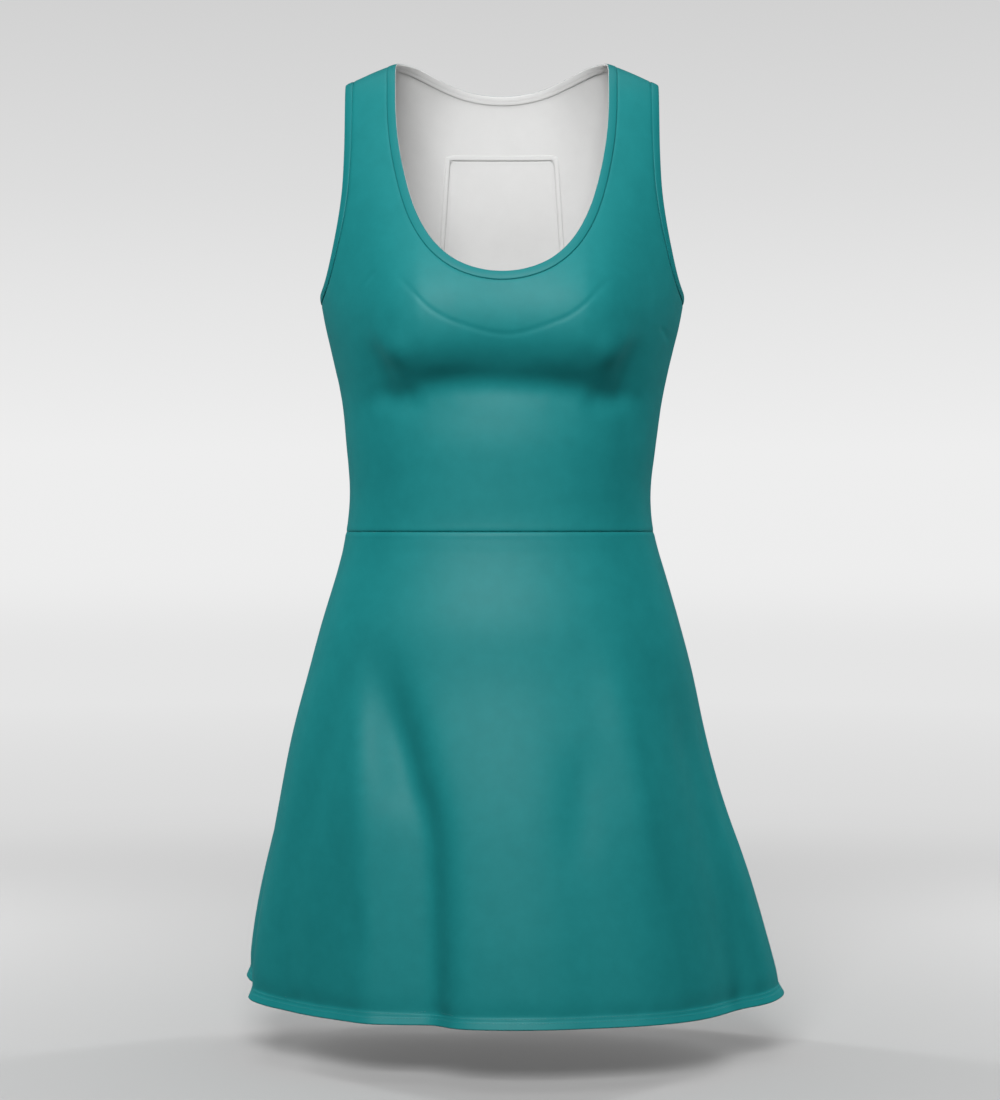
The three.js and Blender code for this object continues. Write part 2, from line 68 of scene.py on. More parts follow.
studio = {
    "floorZ": -0.827,
    "floorRadius": 6.0,
    "wallTop": 4.5,
    "cornerRadius": 0.5,
    # painted light: shades of grey from the middle of the floor outwards and up the wall, each after its
    # share of the way; the wall glows brightest low down, and the floor is darkest in its middle, in its glow
    # and in its lit colour
    "floorPaintedShades": [
        (0.0, 0.53), (0.04, 0.55), (0.085, 0.585), (0.14, 0.624), (0.22, 0.66), (0.32, 0.708), (0.7, 0.783),
    ],
    "wallPaintedShades": [
        (0.0, 0.81), (0.06, 0.85), (0.138, 0.855), (0.172, 0.831), (0.24, 0.783), (0.31, 0.723), (0.44, 0.64),
    ],
    "blendTo": 0.05,  # share of the wall's height where the floor's shades have gone over into its own
    "litShare": 0.9,  # the lit part of the floor against its glow
    "leastGlow": 0.17,  # least share of painted glow, also under the dress, where it lightens the shadow and keeps it soft
    "farFrom": 0.05,  # share of the floor's radius where its own glow starts to take over
    "farTo": 0.28,
    "air": 0.06,  # light from all round
    "aim": (0, 0, -0.38),  # where the lamps point
}

lamps = [
    {"name": "softAbove", "place": (-0.2, -1.95, 0.72), "size": (1.1, 0.8), "power": 52, "mirrored": True},
    {"name": "fromCamera", "place": (0.0, -2.4, -0.3), "size": (0.8, 0.8), "power": 1.5, "mirrored": False},
    {"name": "overhead", "place": (0.0, 0.05, 2.2), "size": (2.2, 2.2), "power": 21, "mirrored": True},
    {"name": "sideRight", "place": (-1.3, 0.85, -0.2), "size": (0.25, 1.2), "power": 19, "mirrored": False},
    {"name": "sideLeft", "place": (1.3, 0.85, -0.2), "size": (0.25, 1.2), "power": 19, "mirrored": False},
]


def shadeRamp(nodes, shades):
    ramp = nodes.new("ShaderNodeValToRGB")
    elements = ramp.color_ramp.elements
    while len(elements) < len(shades):
        elements.new(0.5)
    for element, (place, shade) in zip(elements, shades):
        element.position = place
        element.color = (shade, shade, shade, 1)
    return ramp


def smoothShare(nodes, link, value, start, end, least=0):
    share = nodes.new("ShaderNodeMapRange")
    share.interpolation_type = "SMOOTHSTEP"
    share.inputs["From Min"].default_value = start
    share.inputs["From Max"].default_value = end
    share.inputs["To Min"].default_value = least
    link(value, share.inputs["Value"])
    return share.outputs["Result"]


def backdropMaterial():
    # near the dress the floor takes light and shadow, and far off it glows like the wall; this glow is
    # painted light, with the studio's falloff painted into it
    material = bpy.data.materials.new("paleBackdrop")
    material.use_nodes = True
    nodes = material.node_tree.nodes
    link = material.node_tree.links.new
    nodes.clear()
    place = nodes.new("ShaderNodeTexCoord")
    flat = nodes.new("ShaderNodeVectorMath")
    flat.operation = "MULTIPLY"
    flat.inputs[1].default_value = (1 / studio["floorRadius"], 1 / studio["floorRadius"], 0)
    link(place.outputs["Object"], flat.inputs[0])
    radius = nodes.new("ShaderNodeVectorMath")
    radius.operation = "LENGTH"
    link(flat.outputs["Vector"], radius.inputs[0])
    split = nodes.new("ShaderNodeSeparateXYZ")
    link(place.outputs["Object"], split.inputs["Vector"])
    height = nodes.new("ShaderNodeMapRange")
    height.inputs["From Min"].default_value = studio["floorZ"]
    height.inputs["From Max"].default_value = studio["wallTop"]
    link(split.outputs["Z"], height.inputs["Value"])
    floorRamp = shadeRamp(nodes, studio["floorPaintedShades"])
    link(radius.outputs["Value"], floorRamp.inputs["Fac"])
    wallRamp = shadeRamp(nodes, studio["wallPaintedShades"])
    link(height.outputs["Result"], wallRamp.inputs["Fac"])
    shade = nodes.new("ShaderNodeMix")
    shade.data_type = "RGBA"
    link(smoothShare(nodes, link, height.outputs["Result"], 0, studio["blendTo"]), shade.inputs["Factor"])
    link(floorRamp.outputs["Color"], shade.inputs["A"])
    link(wallRamp.outputs["Color"], shade.inputs["B"])
    glow = nodes.new("ShaderNodeEmission")
    link(shade.outputs["Result"], glow.inputs["Color"])
    dim = nodes.new("ShaderNodeVectorMath")
    dim.operation = "SCALE"
    dim.inputs["Scale"].default_value = studio["litShare"]
    link(shade.outputs["Result"], dim.inputs["Vector"])
    lit = nodes.new("ShaderNodeBsdfDiffuse")
    link(dim.outputs["Vector"], lit.inputs["Color"])
    both = nodes.new("ShaderNodeMixShader")
    # even under the dress a share of painted glow is mixed in, lightening its shadow
    span = studio["farFrom"], studio["farTo"], studio["leastGlow"]
    isFar = smoothShare(nodes, link, radius.outputs["Value"], *span)
    link(isFar, both.inputs["Fac"])
    link(lit.outputs["BSDF"], both.inputs[1])
    link(glow.outputs["Emission"], both.inputs[2])
    output = nodes.new("ShaderNodeOutputMaterial")
    link(both.outputs["Shader"], output.inputs["Surface"])
    return material


def makeBackdrop():
    # a round floor whose edge is swept up into a wall, open at the top
    bpy.ops.object.select_all(action="DESELECT")
    bpy.ops.mesh.primitive_circle_add(
        vertices=96, radius=studio["floorRadius"], fill_type="TRIFAN", location=(0, 0, studio["floorZ"])
    )
    backdrop = bpy.context.object
    backdrop.name = "backdrop"
    bpy.ops.object.mode_set(mode="EDIT")
    bpy.ops.mesh.select_mode(type="EDGE")
    bpy.ops.mesh.select_all(action="SELECT")
    bpy.ops.mesh.region_to_loop()
    corner = studio["cornerRadius"]
    turns = 6
    for i in range(turns):
        start, end = (math.radians(90 * k / turns) for k in (i, i + 1))
        rise = corner * (math.cos(start) - math.cos(end))
        bpy.ops.mesh.extrude_edges_move(TRANSFORM_OT_translate={"value": (0, 0, rise)})
        reach = studio["floorRadius"] + corner * math.sin(start)
        grow = (studio["floorRadius"] + corner * math.sin(end)) / reach
        bpy.ops.transform.resize(value=(grow, grow, 1))
    rest = studio["wallTop"] - studio["floorZ"] - corner
    bpy.ops.mesh.extrude_edges_move(TRANSFORM_OT_translate={"value": (0, 0, rest)})
    bpy.ops.mesh.select_all(action="SELECT")
    bpy.ops.mesh.normals_make_consistent(inside=True)
    bpy.ops.mesh.select_mode(type="FACE")
    bpy.ops.object.mode_set(mode="OBJECT")
    bpy.ops.object.transform_apply(location=True, rotation=True, scale=True)
    bpy.ops.object.shade_smooth()
    backdrop.data.materials.append(backdropMaterial())
    # only the camera sees it, so that the lamps alone light the dress
    backdrop.visible_shadow = False
    backdrop.visible_diffuse = False
    backdrop.visible_glossy = False


def makeLight():
    for lamp in lamps:
        light = bpy.data.lights.new(lamp["name"], "AREA")
        light.shape = "RECTANGLE"
        light.size, light.size_y = lamp["size"]
        light.energy = lamp["power"]
        holder = bpy.data.objects.new(lamp["name"], light)
        bpy.context.scene.collection.objects.link(holder)
        holder.location = lamp["place"]
        holder.visible_glossy = lamp["mirrored"]
        aim = Vector(studio["aim"]) - Vector(lamp["place"])
        holder.rotation_euler = aim.to_track_quat("-Z", "Y").to_euler()
    world = bpy.data.worlds.new("studioAir")
    world.use_nodes = True
    world.node_tree.nodes["Background"].inputs["Color"].default_value = (1, 1, 1, 1)
    world.node_tree.nodes["Background"].inputs["Strength"].default_value = studio["air"]
    bpy.context.scene.world = world
    bpy.context.scene.view_settings.view_transform = "Standard"


placeCamera()
makeBackdrop()
makeLight()
print("studio ready")


# Finishes

knit = {
    "teal": (0.013, 0.245, 0.252, 1),
    "deepTeal": (0.008, 0.192, 0.200, 1),
    "bindingTeal": (0.011, 0.215, 0.224, 1),
    "white": (0.68, 0.68, 0.675, 1),
    "deepWhite": (0.63, 0.63, 0.625, 1),
    "wale": 0.8 * mm,  # one rib of the knit
    "course": 0.6 * mm,  # one row of it
    "roughness": 0.5,
    "gloss": 0.2,
    "sheen": 0.02,
}


def knitMaterial(name, light, deep, relief=0.05 * mm):
    material = bpy.data.materials.new(name)
    material.use_nodes = True
    nodes = material.node_tree.nodes
    link = material.node_tree.links.new
    shader = nodes["Principled BSDF"]
    shader.inputs["Roughness"].default_value = knit["roughness"]
    shader.inputs["Specular IOR Level"].default_value = knit["gloss"]
    shader.inputs["Sheen Weight"].default_value = knit["sheen"]
    shader.inputs["Sheen Roughness"].default_value = 0.35
    place = nodes.new("ShaderNodeTexCoord")
    # soft unevenness of the dye
    cloud = nodes.new("ShaderNodeTexNoise")
    cloud.inputs["Scale"].default_value = 60
    cloud.inputs["Detail"].default_value = 6
    cloud.inputs["Roughness"].default_value = 0.65
    link(place.outputs["Object"], cloud.inputs["Vector"])
    shade = nodes.new("ShaderNodeMix")
    shade.data_type = "RGBA"
    shade.inputs["A"].default_value = deep
    shade.inputs["B"].default_value = light
    link(cloud.outputs["Fac"], shade.inputs["Factor"])
    link(shade.outputs["Result"], shader.inputs["Base Color"])
    # the loops of the knit: ribs along the cloth and rows across it, both on the flat cut
    wales = nodes.new("ShaderNodeTexWave")
    wales.inputs["Scale"].default_value = math.pi / (10 * knit["wale"])
    wales.inputs["Distortion"].default_value = 0.4
    link(place.outputs["UV"], wales.inputs["Vector"])
    courses = nodes.new("ShaderNodeTexWave")
    courses.bands_direction = "Y"
    courses.inputs["Scale"].default_value = math.pi / (10 * knit["course"])
    courses.inputs["Distortion"].default_value = 0.4
    link(place.outputs["UV"], courses.inputs["Vector"])
    loops = nodes.new("ShaderNodeMath")
    loops.operation = "MULTIPLY"
    link(wales.outputs["Fac"], loops.inputs[0])
    link(courses.outputs["Fac"], loops.inputs[1])
    # the fine tooth of the brushed face
    tooth = nodes.new("ShaderNodeTexNoise")
    tooth.inputs["Scale"].default_value = 900
    tooth.inputs["Detail"].default_value = 2
    link(place.outputs["Object"], tooth.inputs["Vector"])
    surface = nodes.new("ShaderNodeMath")
    surface.operation = "ADD"
    link(loops.outputs["Value"], surface.inputs[0])
    link(tooth.outputs["Fac"], surface.inputs[1])
    bump = nodes.new("ShaderNodeBump")
    bump.inputs["Strength"].default_value = 0.6
    bump.inputs["Distance"].default_value = relief
    link(surface.outputs["Value"], bump.inputs["Height"])
    link(bump.outputs["Normal"], shader.inputs["Normal"])
    return material


def threadMaterial(name, colour):
    material = bpy.data.materials.new(name)
    material.use_nodes = True
    nodes = material.node_tree.nodes
    link = material.node_tree.links.new
    shader = nodes["Principled BSDF"]
    shader.inputs["Roughness"].default_value = 0.45
    shader.inputs["Sheen Weight"].default_value = 0.2
    place = nodes.new("ShaderNodeTexCoord")
    twist = nodes.new("ShaderNodeTexNoise")
    twist.inputs["Scale"].default_value = 600
    link(place.outputs["Object"], twist.inputs["Vector"])
    shade = nodes.new("ShaderNodeMix")
    shade.data_type = "RGBA"
    shade.inputs["A"].default_value = tuple(0.8 * channel for channel in colour[:3]) + (1,)
    shade.inputs["B"].default_value = colour
    link(twist.outputs["Fac"], shade.inputs["Factor"])
    link(shade.outputs["Result"], shader.inputs["Base Color"])
    return material


finish = {
    "teal": knitMaterial("tealKnit", knit["teal"], knit["deepTeal"]),
    "white": knitMaterial("whiteInside", knit["white"], knit["deepWhite"]),
    "binding": knitMaterial("bindingKnit", knit["bindingTeal"], knit["deepTeal"]),
    "tealThread": threadMaterial("tealThread", knit["teal"]),
    "whiteThread": threadMaterial("whiteThread", knit["white"]),
}
print("finishes ready")


# Tools for cloth


def activate(piece):
    bpy.ops.object.select_all(action="DESELECT")
    piece.select_set(True)
    bpy.context.view_layer.objects.active = piece


def places(piece):
    count = len(piece.data.vertices)
    points = np.empty(count * 3)
    normals = np.empty(count * 3)
    piece.data.vertices.foreach_get("co", points)
    piece.data.vertices.foreach_get("normal", normals)
    return points.reshape(-1, 3), normals.reshape(-1, 3)


def movePoints(piece, points):
    piece.data.vertices.foreach_set("co", points.ravel())
    piece.data.update()


def treeOf(mesh):
    corners = [vertex.co for vertex in mesh.vertices]
    return BVHTree.FromPolygons(corners, [face.vertices for face in mesh.polygons])


nodeTrees = {name: treeOf(node.data) for name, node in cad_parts.items()}


def copyOfNode(node, name):
    piece = bpy.data.objects.new(name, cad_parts[node].data.copy())
    bpy.context.scene.collection.objects.link(piece)
    piece.data.materials.clear()
    activate(piece)
    bpy.context.tool_settings.mesh_select_mode = (False, False, True)
    bpy.ops.object.mode_set(mode="EDIT")
    bpy.ops.mesh.select_all(action="SELECT")
    bpy.ops.mesh.remove_doubles(threshold=0.01 * mm)
    bpy.ops.mesh.select_all(action="DESELECT")
    bpy.ops.object.mode_set(mode="OBJECT")
    return piece


def towardsOutside(point):
    # from the middle of the body, which stays below the shoulders, to a point of the cloth
    return point - Vector((0, 0, min(point.z, -60 * mm)))


def makeQuads():
    bpy.ops.object.mode_set(mode="EDIT")
    bpy.ops.mesh.select_all(action="SELECT")
    bpy.ops.mesh.tris_convert_to_quads(face_threshold=math.radians(50), shape_threshold=math.radians(60))
    bpy.ops.mesh.select_all(action="DESELECT")
    bpy.ops.object.mode_set(mode="OBJECT")


def keepOuterFace(piece):
    # a face of the cloth's wall has the other side close behind it, and a rim hasn't
    wall = treeOf(piece.data)
    for face in piece.data.polygons:
        start = face.center - face.normal * 0.05 * mm
        isThin = wall.ray_cast(start, -face.normal, cloth["thickestWall"])[0] is not None
        isOuter = face.normal.dot(towardsOutside(face.center)) > 0
        face.select = not (isThin and isOuter)
    bpy.ops.object.mode_set(mode="EDIT")
    bpy.ops.mesh.delete(type="FACE")
    bpy.ops.object.mode_set(mode="OBJECT")
    makeQuads()


def freeEdges(mesh):
    edgeOfLoop = np.empty(len(mesh.loops), int)
    mesh.loops.foreach_get("edge_index", edgeOfLoop)
    uses = np.bincount(edgeOfLoop, minlength=len(mesh.edges))
    ends = np.empty(len(mesh.edges) * 2, int)
    mesh.edges.foreach_get("vertices", ends)
    return np.flatnonzero(uses == 1), ends.reshape(-1, 2)


def cutRows(piece, isRow, cuts):
    # adds rows of faces across the edges that answer to isRow
    mesh = piece.data
    activate(piece)
    bpy.context.tool_settings.mesh_select_mode = (False, True, False)
    for edge in mesh.edges:
        edge.select = isRow(*[mesh.vertices[k].co for k in edge.vertices])
    bpy.ops.object.mode_set(mode="EDIT")
    bpy.ops.mesh.subdivide(number_cuts=cuts, smoothness=0)
    bpy.ops.mesh.select_all(action="DESELECT")
    bpy.ops.mesh.select_mode(type="FACE")
    bpy.ops.object.mode_set(mode="OBJECT")


def layFlat(piece):
    # unwraps the panel to its flat cut, upright and in metres
    activate(piece)
    bpy.ops.object.mode_set(mode="EDIT")
    bpy.ops.mesh.select_all(action="SELECT")
    bpy.ops.uv.unwrap(method="ANGLE_BASED", margin=0)
    bpy.ops.mesh.select_all(action="DESELECT")
    bpy.ops.object.mode_set(mode="OBJECT")
    mesh = piece.data
    uv = np.empty(len(mesh.loops) * 2)
    mesh.uv_layers.active.data.foreach_get("uv", uv)
    flat = uv.reshape(-1, 2) @ np.array([1, 1j])
    corners = np.empty(len(mesh.loops), int)
    mesh.loops.foreach_get("vertex_index", corners)
    height = places(piece)[0][corners, 2]
    upright = np.sum((flat - flat.mean()) * (height - height.mean()))
    flat *= 1j * abs(upright) / upright
    flatArea = 0
    for face in mesh.polygons:
        spots = flat[face.loop_start:face.loop_start + face.loop_total]
        flatArea += abs(np.sum(np.conj(spots) * np.roll(spots, -1)).imag) / 2
    flat *= math.sqrt(sum(face.area for face in mesh.polygons) / flatArea)
    flat -= flat.real.min() + 1j * flat.imag.min()
    mesh.uv_layers.active.data.foreach_set("uv", np.column_stack([flat.real, flat.imag]).ravel())
    print(f"{piece.name}: cut {flat.real.max():.3f} by {flat.imag.max():.3f} m")


def subdivide(piece, levels):
    activate(piece)
    modifier = piece.modifiers.new("Subdivision", "SUBSURF")
    modifier.levels = levels
    modifier.render_levels = levels
    modifier.boundary_smooth = "PRESERVE_CORNERS"
    bpy.ops.object.modifier_apply(modifier=modifier.name)


def giveWall(piece, thickness, innerSlot):
    activate(piece)
    modifier = piece.modifiers.new("Wall", "SOLIDIFY")
    modifier.thickness = thickness
    modifier.offset = -1
    modifier.material_offset = innerSlot
    bpy.ops.object.modifier_apply(modifier=modifier.name)


def settle(piece, slot, *nodes):
    activate(piece)
    bpy.ops.object.shade_smooth()
    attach(piece, "root")
    if nodes:
        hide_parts(*nodes)
    faces = piece.data.polygons
    triangles = sum(face.loop_total - 2 for face in faces)
    print(f"{piece.name}: {triangles} triangles, {sum(face.area for face in faces) / 2:.4f} m2")


def seamsOf(piece, node):
    # the free edges of a panel, sorted by the neighbour that they are sewn to
    free, ends = freeEdges(piece.data)
    points, _ = places(piece)
    seams = {}
    for edge in free:
        middle = Vector(points[ends[edge]].mean(0))
        nearest, neighbour = cloth["widestSeam"], "open"
        for name, tree in nodeTrees.items():
            if name != node:
                distance = tree.find_nearest(middle, nearest)[3]
                if distance is not None:
                    nearest, neighbour = distance, name
        seams.setdefault(neighbour, []).append(edge)
    return {name: np.array(edges) for name, edges in seams.items()}


def distanceTo(points, piece, edges, reach):
    # how far each point lies from a run of edges, up to reach
    _, ends = freeEdges(piece.data)
    line = places(piece)[0][ends[edges]]
    shares = np.linspace(0, 1, 12)[:, None, None]
    spots = (line[:, 0] * (1 - shares) + line[:, 1] * shares).reshape(-1, 3)
    tree = KDTree(len(spots))
    for i, spot in enumerate(spots):
        tree.insert(spot, i)
    tree.balance()
    distance = np.full(len(points), float(reach))
    near = np.all((points > spots.min(0) - reach) & (points < spots.max(0) + reach), axis=1)
    for i in np.flatnonzero(near):
        distance[i] = min(reach, tree.find(points[i])[2])
    return distance


def hump(distance, centre, width):
    return np.exp(-(((distance - centre) / width) ** 2))


def uneven(points, pitch, seed):
    # about -1 to 1, changing over pitch
    return np.array([noise.noise(Vector(point) / pitch + Vector((seed, 0, 0))) for point in points])


def smoothLine(knots, count=10):
    # more points on a curve through the knots
    knots = np.array(knots, float)
    padded = np.vstack([2 * knots[0] - knots[1], knots, 2 * knots[-1] - knots[-2]])
    line = []
    for a, b, c, d in zip(padded, padded[1:], padded[2:], padded[3:]):
        for t in np.linspace(0, 1, count, endpoint=False):
            bend = 2 * b + (c - a) * t + (2 * a - 5 * b + 4 * c - d) * t**2
            line.append((bend + (3 * b - a - 3 * c + d) * t**3) / 2)
    return np.array(line + [knots[-1]])


def alongLine(spots, line):
    # distance from a line in the plane, and how far along it from 0 to 1
    best = np.full(len(spots), 1e9)
    share = np.zeros(len(spots))
    steps = np.linalg.norm(np.diff(line, axis=0), axis=1)
    reached = np.concatenate([[0], np.cumsum(steps)]) / steps.sum()
    for i, (a, b) in enumerate(zip(line, line[1:])):
        t = np.clip((spots - a) @ (b - a) / np.dot(b - a, b - a), 0, 1)
        gap = np.linalg.norm(spots - a - t[:, None] * (b - a), axis=1)
        closer = gap < best
        best[closer] = gap[closer]
        share[closer] = (reached[i] + t * (reached[i + 1] - reached[i]))[closer]
    return best, share


def creaseHeight(points, creases):
    # soft troughs and ridges along lines drawn in the front view, in millimetres
    spots = points[:, [0, 2]] / mm
    height = np.zeros(len(points))
    for crease in creases:
        gap, share = alongLine(spots, smoothLine(crease["line"]))
        start, end = crease["fade"]
        ends = np.clip(share / start, 0, 1) * np.clip((1 - share) / end, 0, 1)
        ends = ends * ends * (3 - 2 * ends)
        height += crease["height"] * ends * np.exp(-((gap / crease["width"]) ** 2))
    return height * mm


def chainsOf(ends):
    # the vertices along runs of edges, in order
    links = {}
    for a, b in ends.tolist():
        links.setdefault(a, []).append(b)
        links.setdefault(b, []).append(a)
    left = set(links)
    chains = []
    for start in [k for k in links if len(links[k]) == 1] + list(links):
        if start not in left:
            continue
        chain = [start]
        left.discard(start)
        while True:
            onward = [k for k in links[chain[-1]] if k in left]
            if not onward:
                break
            chain.append(onward[0])
            left.discard(onward[0])
        if len(chain) > 5:
            chains.append(chain)
    return chains


def outwardsOf(piece, edges):
    # at each point of a run of free edges, the way in which the cloth would go on
    points, _ = places(piece)
    free, ends = freeEdges(piece.data)
    isFree = np.zeros(len(points), bool)
    isFree[ends[free]] = True
    across = ends[isFree[ends[:, 0]] != isFree[ends[:, 1]]]
    rims = np.where(isFree[across[:, 0]], across[:, 0], across[:, 1])
    inners = np.where(isFree[across[:, 0]], across[:, 1], across[:, 0])
    outwards = np.zeros_like(points)
    np.add.at(outwards, rims, points[rims] - points[inners])
    corners = np.linalg.norm(outwards, axis=1) == 0
    beside = outwards.copy()
    for a, b in ends[edges]:
        if corners[a]:
            outwards[a] += beside[b]
        if corners[b]:
            outwards[b] += beside[a]
    length = np.linalg.norm(outwards, axis=1, keepdims=True)
    return outwards / np.maximum(length, 1e-9)


def linesOf(piece, edges, normals):
    # each run of edges with its points, the cloth's normals there and the ways onwards
    _, ends = freeEdges(piece.data)
    points, _ = places(piece)
    outwards = outwardsOf(piece, edges)
    return [(points[chain], normals[chain], outwards[chain]) for chain in chainsOf(ends[edges])]


# The panels

cloth = {
    "wall": 0.95 * mm,
    "thickestWall": 4 * mm,  # of the solids
    "widestSeam": 1.5 * mm,  # between two neighbouring solids
    "reach": 24 * mm,  # how far from its seams a panel is shaped by them
    "seamDip": 0.22 * mm,
    "seamWidth": 1.1 * mm,
    "seamClosing": 0.44,  # each edge goes this share of the way to its neighbour
    "seamRoll": 0.16 * mm,  # the allowance under the seam lifts the cloth beside it
    "rollPlace": 3.2 * mm,
    "rollWidth": 1.9 * mm,
    "pucker": 0.5,  # how uneven the roll is
    "puckerPitch": 9 * mm,
    "calmBesideSeam": 10 * mm,  # creases die out this close to a seam
    "underBinding": 3.5 * mm,  # how far a panel reaches into its binding
    "bindingDip": 0.3 * mm,
    "bindingDipWidth": 0.9 * mm,
}

hem = {
    "height": 10.5 * mm,
    "reach": 30 * mm,
    "rows": (6.5 * mm, 10.0 * mm),  # the two lines of stitches, above the edge
    "pinch": 1.3 * mm,  # drawn in at the upper line
    "pinchAbove": 7.0 * mm,
    "pinchBelow": 4.0 * mm,
    "unevenness": 0.35,  # of the pinch
    "unevenPitch": 14 * mm,
    "kick": 1.5 * mm,  # the edge turns out
    "groove": 0.2 * mm,
    "grooveWidth": 0.6 * mm,
    "round": 0.9 * mm,  # how far the rounding of the edge reaches up
    "roundDepth": 0.6 * mm,
    "layer": 1.05 * mm,  # the turned-up cloth on the inside
    "layerStep": 0.8 * mm,  # how far the step up to it is drawn out
}

# a crease's line is drawn in the front view, its height stands out of the cloth, both in millimetres,
# and it fades away over these shares of its length
panels = [
    {
        "node": "front_bodice",
        "slot": "knit",
        "levels": 3,
        # a curved edge shows through below the neck, and the cloth pulls a little beside its ends
        "creases": [
            {
                "line": [
                    (-89, -174), (-72, -193), (-55, -209.5), (-30, -221), (6, -228), (43, -218),
                    (62, -207.5), (79, -190), (95, -175),
                ],
                "height": -0.55, "width": 1.8, "fade": (0.12, 0.12),
            },
            {
                "line": [(-101, -174), (-108, -181), (-113, -188)],
                "height": -0.5, "width": 1.6, "fade": (0.3, 0.3),
            },
            {
                "line": [(128, -217), (134, -221), (138, -228)],
                "height": -0.7, "width": 2.2, "fade": (0.3, 0.3),
            },
            {
                "line": [(-112, -205), (-101, -248), (-86, -288)],
                "height": -4.6, "width": 12, "fade": (0.45, 0.4),
            },
            {
                "line": [(113, -205), (103, -248), (89, -288)],
                "height": -4.4, "width": 12, "fade": (0.45, 0.4),
            },
            {
                "line": [(-114, -212), (-94, -236), (-62, -248)],
                "height": 3.0, "width": 12, "fade": (0.4, 0.4),
            },
            {
                "line": [(114, -212), (95, -236), (64, -248)],
                "height": 3.0, "width": 12, "fade": (0.4, 0.4),
            },
            {
                "line": [(-110, -264), (-91, -278), (-58, -277)],
                "height": -3.4, "width": 10, "fade": (0.35, 0.35),
            },
            {
                "line": [(112, -264), (93, -278), (60, -277)],
                "height": -3.6, "width": 10, "fade": (0.35, 0.35),
            },
            {
                "line": [(-96, -272), (-35, -266), (22, -268), (97, -271)],
                "height": -3.4, "width": 12, "fade": (0.25, 0.25),
            },
        ],
    },
    {
        "node": "back_bodice",
        "slot": "knit",
        "levels": 3,
        "creases": [
            {
                "line": [(-98, -215), (-88, -250), (-84, -300)],
                "height": -1.2, "width": 12, "fade": (0.4, 0.4),
            },
            {
                "line": [(97, -225), (90, -262), (81, -312)],
                "height": -1.4, "width": 11, "fade": (0.4, 0.4),
            },
        ],
    },
    {
        "node": "skirt_front",
        "slot": "knit",
        "levels": 2,
        # left to right across the front: the side's fold, the fold, its valley and the right-hand folds
        "creases": [
            {
                "line": [(-120, -471), (-145, -567), (-174, -679), (-182, -815)],
                "height": -3.0, "width": 15, "fade": (0.3, 0.03),
            },
            {
                "line": [(-125, -505), (-112, -630), (-105, -815)],
                "height": 5.0, "width": 17, "fade": (0.4, 0.03),
            },
            {
                "line": [(-121, -670), (-117, -702), (-114, -742)],
                "height": -1.4, "width": 9, "fade": (0.4, 0.4),
            },
            {
                "line": [(-108, -455), (-94, -519), (-77, -583), (-64, -640), (-60, -815)],
                "height": -12.0, "width": 18, "fade": (0.3, 0.03),
            },
            {
                "line": [(62, -545), (64, -600), (60, -665)],
                "height": -2.6, "width": 16, "fade": (0.4, 0.4),
            },
            {
                "line": [(80, -455), (110, -582), (128, -690)],
                "height": 6.0, "width": 19, "fade": (0.4, 0.4),
            },
            {
                "line": [(134, -470), (164, -583), (187, -679), (207, -815)],
                "height": -6.0, "width": 17, "fade": (0.3, 0.03),
            },
        ],
    },
    {
        "node": "skirt_back",
        "slot": "knit",
        "levels": 2,
        "creases": [
            {
                "line": [(128, -466), (143, -560), (168, -690), (180, -815)],
                "height": -2.6, "width": 16, "fade": (0.3, 0.03),
            },
            {
                "line": [(88, -470), (71, -560), (62, -660), (58, -815)],
                "height": -4.6, "width": 20, "fade": (0.3, 0.03),
            },
            {
                "line": [(106, -520), (112, -640), (116, -815)],
                "height": 3.2, "width": 19, "fade": (0.4, 0.03),
            },
            {
                "line": [(-22, -560), (-27, -650), (-24, -740)],
                "height": 1.8, "width": 18, "fade": (0.4, 0.3),
            },
            {
                "line": [(-96, -462), (-82, -560), (-88, -680), (-96, -815)],
                "height": -4.0, "width": 18, "fade": (0.3, 0.03),
            },
            {
                "line": [(-132, -500), (-150, -610), (-170, -815)],
                "height": 2.4, "width": 17, "fade": (0.4, 0.03),
            },
        ],
    },
    {"node": "back_panel", "slot": "panel_knit", "levels": 3, "creases": []},
]


waistZ = -385 * mm
lowOnSkirt = -740 * mm  # above the whole hem


def isWaistRow(a, b):
    # the tall row of faces under the waist seam
    return max(a.z, b.z) > waistZ - 1 * mm and min(a.z, b.z) < waistZ - 10 * mm


def isHemRow(a, b):
    # the tall row of faces between the hem's edge and the step at its top
    return max(a.z, b.z) < lowOnSkirt and 7 * mm < abs(a.z - b.z) < hem["height"]


def isSideColumn(a, b):
    # the wide columns of faces beside the side seams
    onSeam = min(abs(a.y), abs(b.y)) < 0.4 * mm
    return onSeam and abs(a.y - b.y) > 2 * mm and max(abs(a.x), abs(b.x)) > 100 * mm


def hemHeight(points, edgeDistance):
    # the hem is drawn in at its upper stitches, turns out to its edge and is rounded there
    lower, upper = hem["rows"]
    width = np.where(edgeDistance > upper, hem["pinchAbove"], hem["pinchBelow"])
    draw = 1 + hem["unevenness"] * uneven(points, hem["unevenPitch"], 3)
    height = -hem["pinch"] * draw * hump(edgeDistance, upper, width)
    height += hem["kick"] * np.clip(1 - edgeDistance / lower, 0, 1) ** 1.5
    for row in hem["rows"]:
        height -= hem["groove"] * hump(edgeDistance, row, hem["grooveWidth"])
    near = np.clip(1 - edgeDistance / hem["round"], 0, 1)
    return height - hem["roundDepth"] * (1 - np.sqrt(1 - near**2))


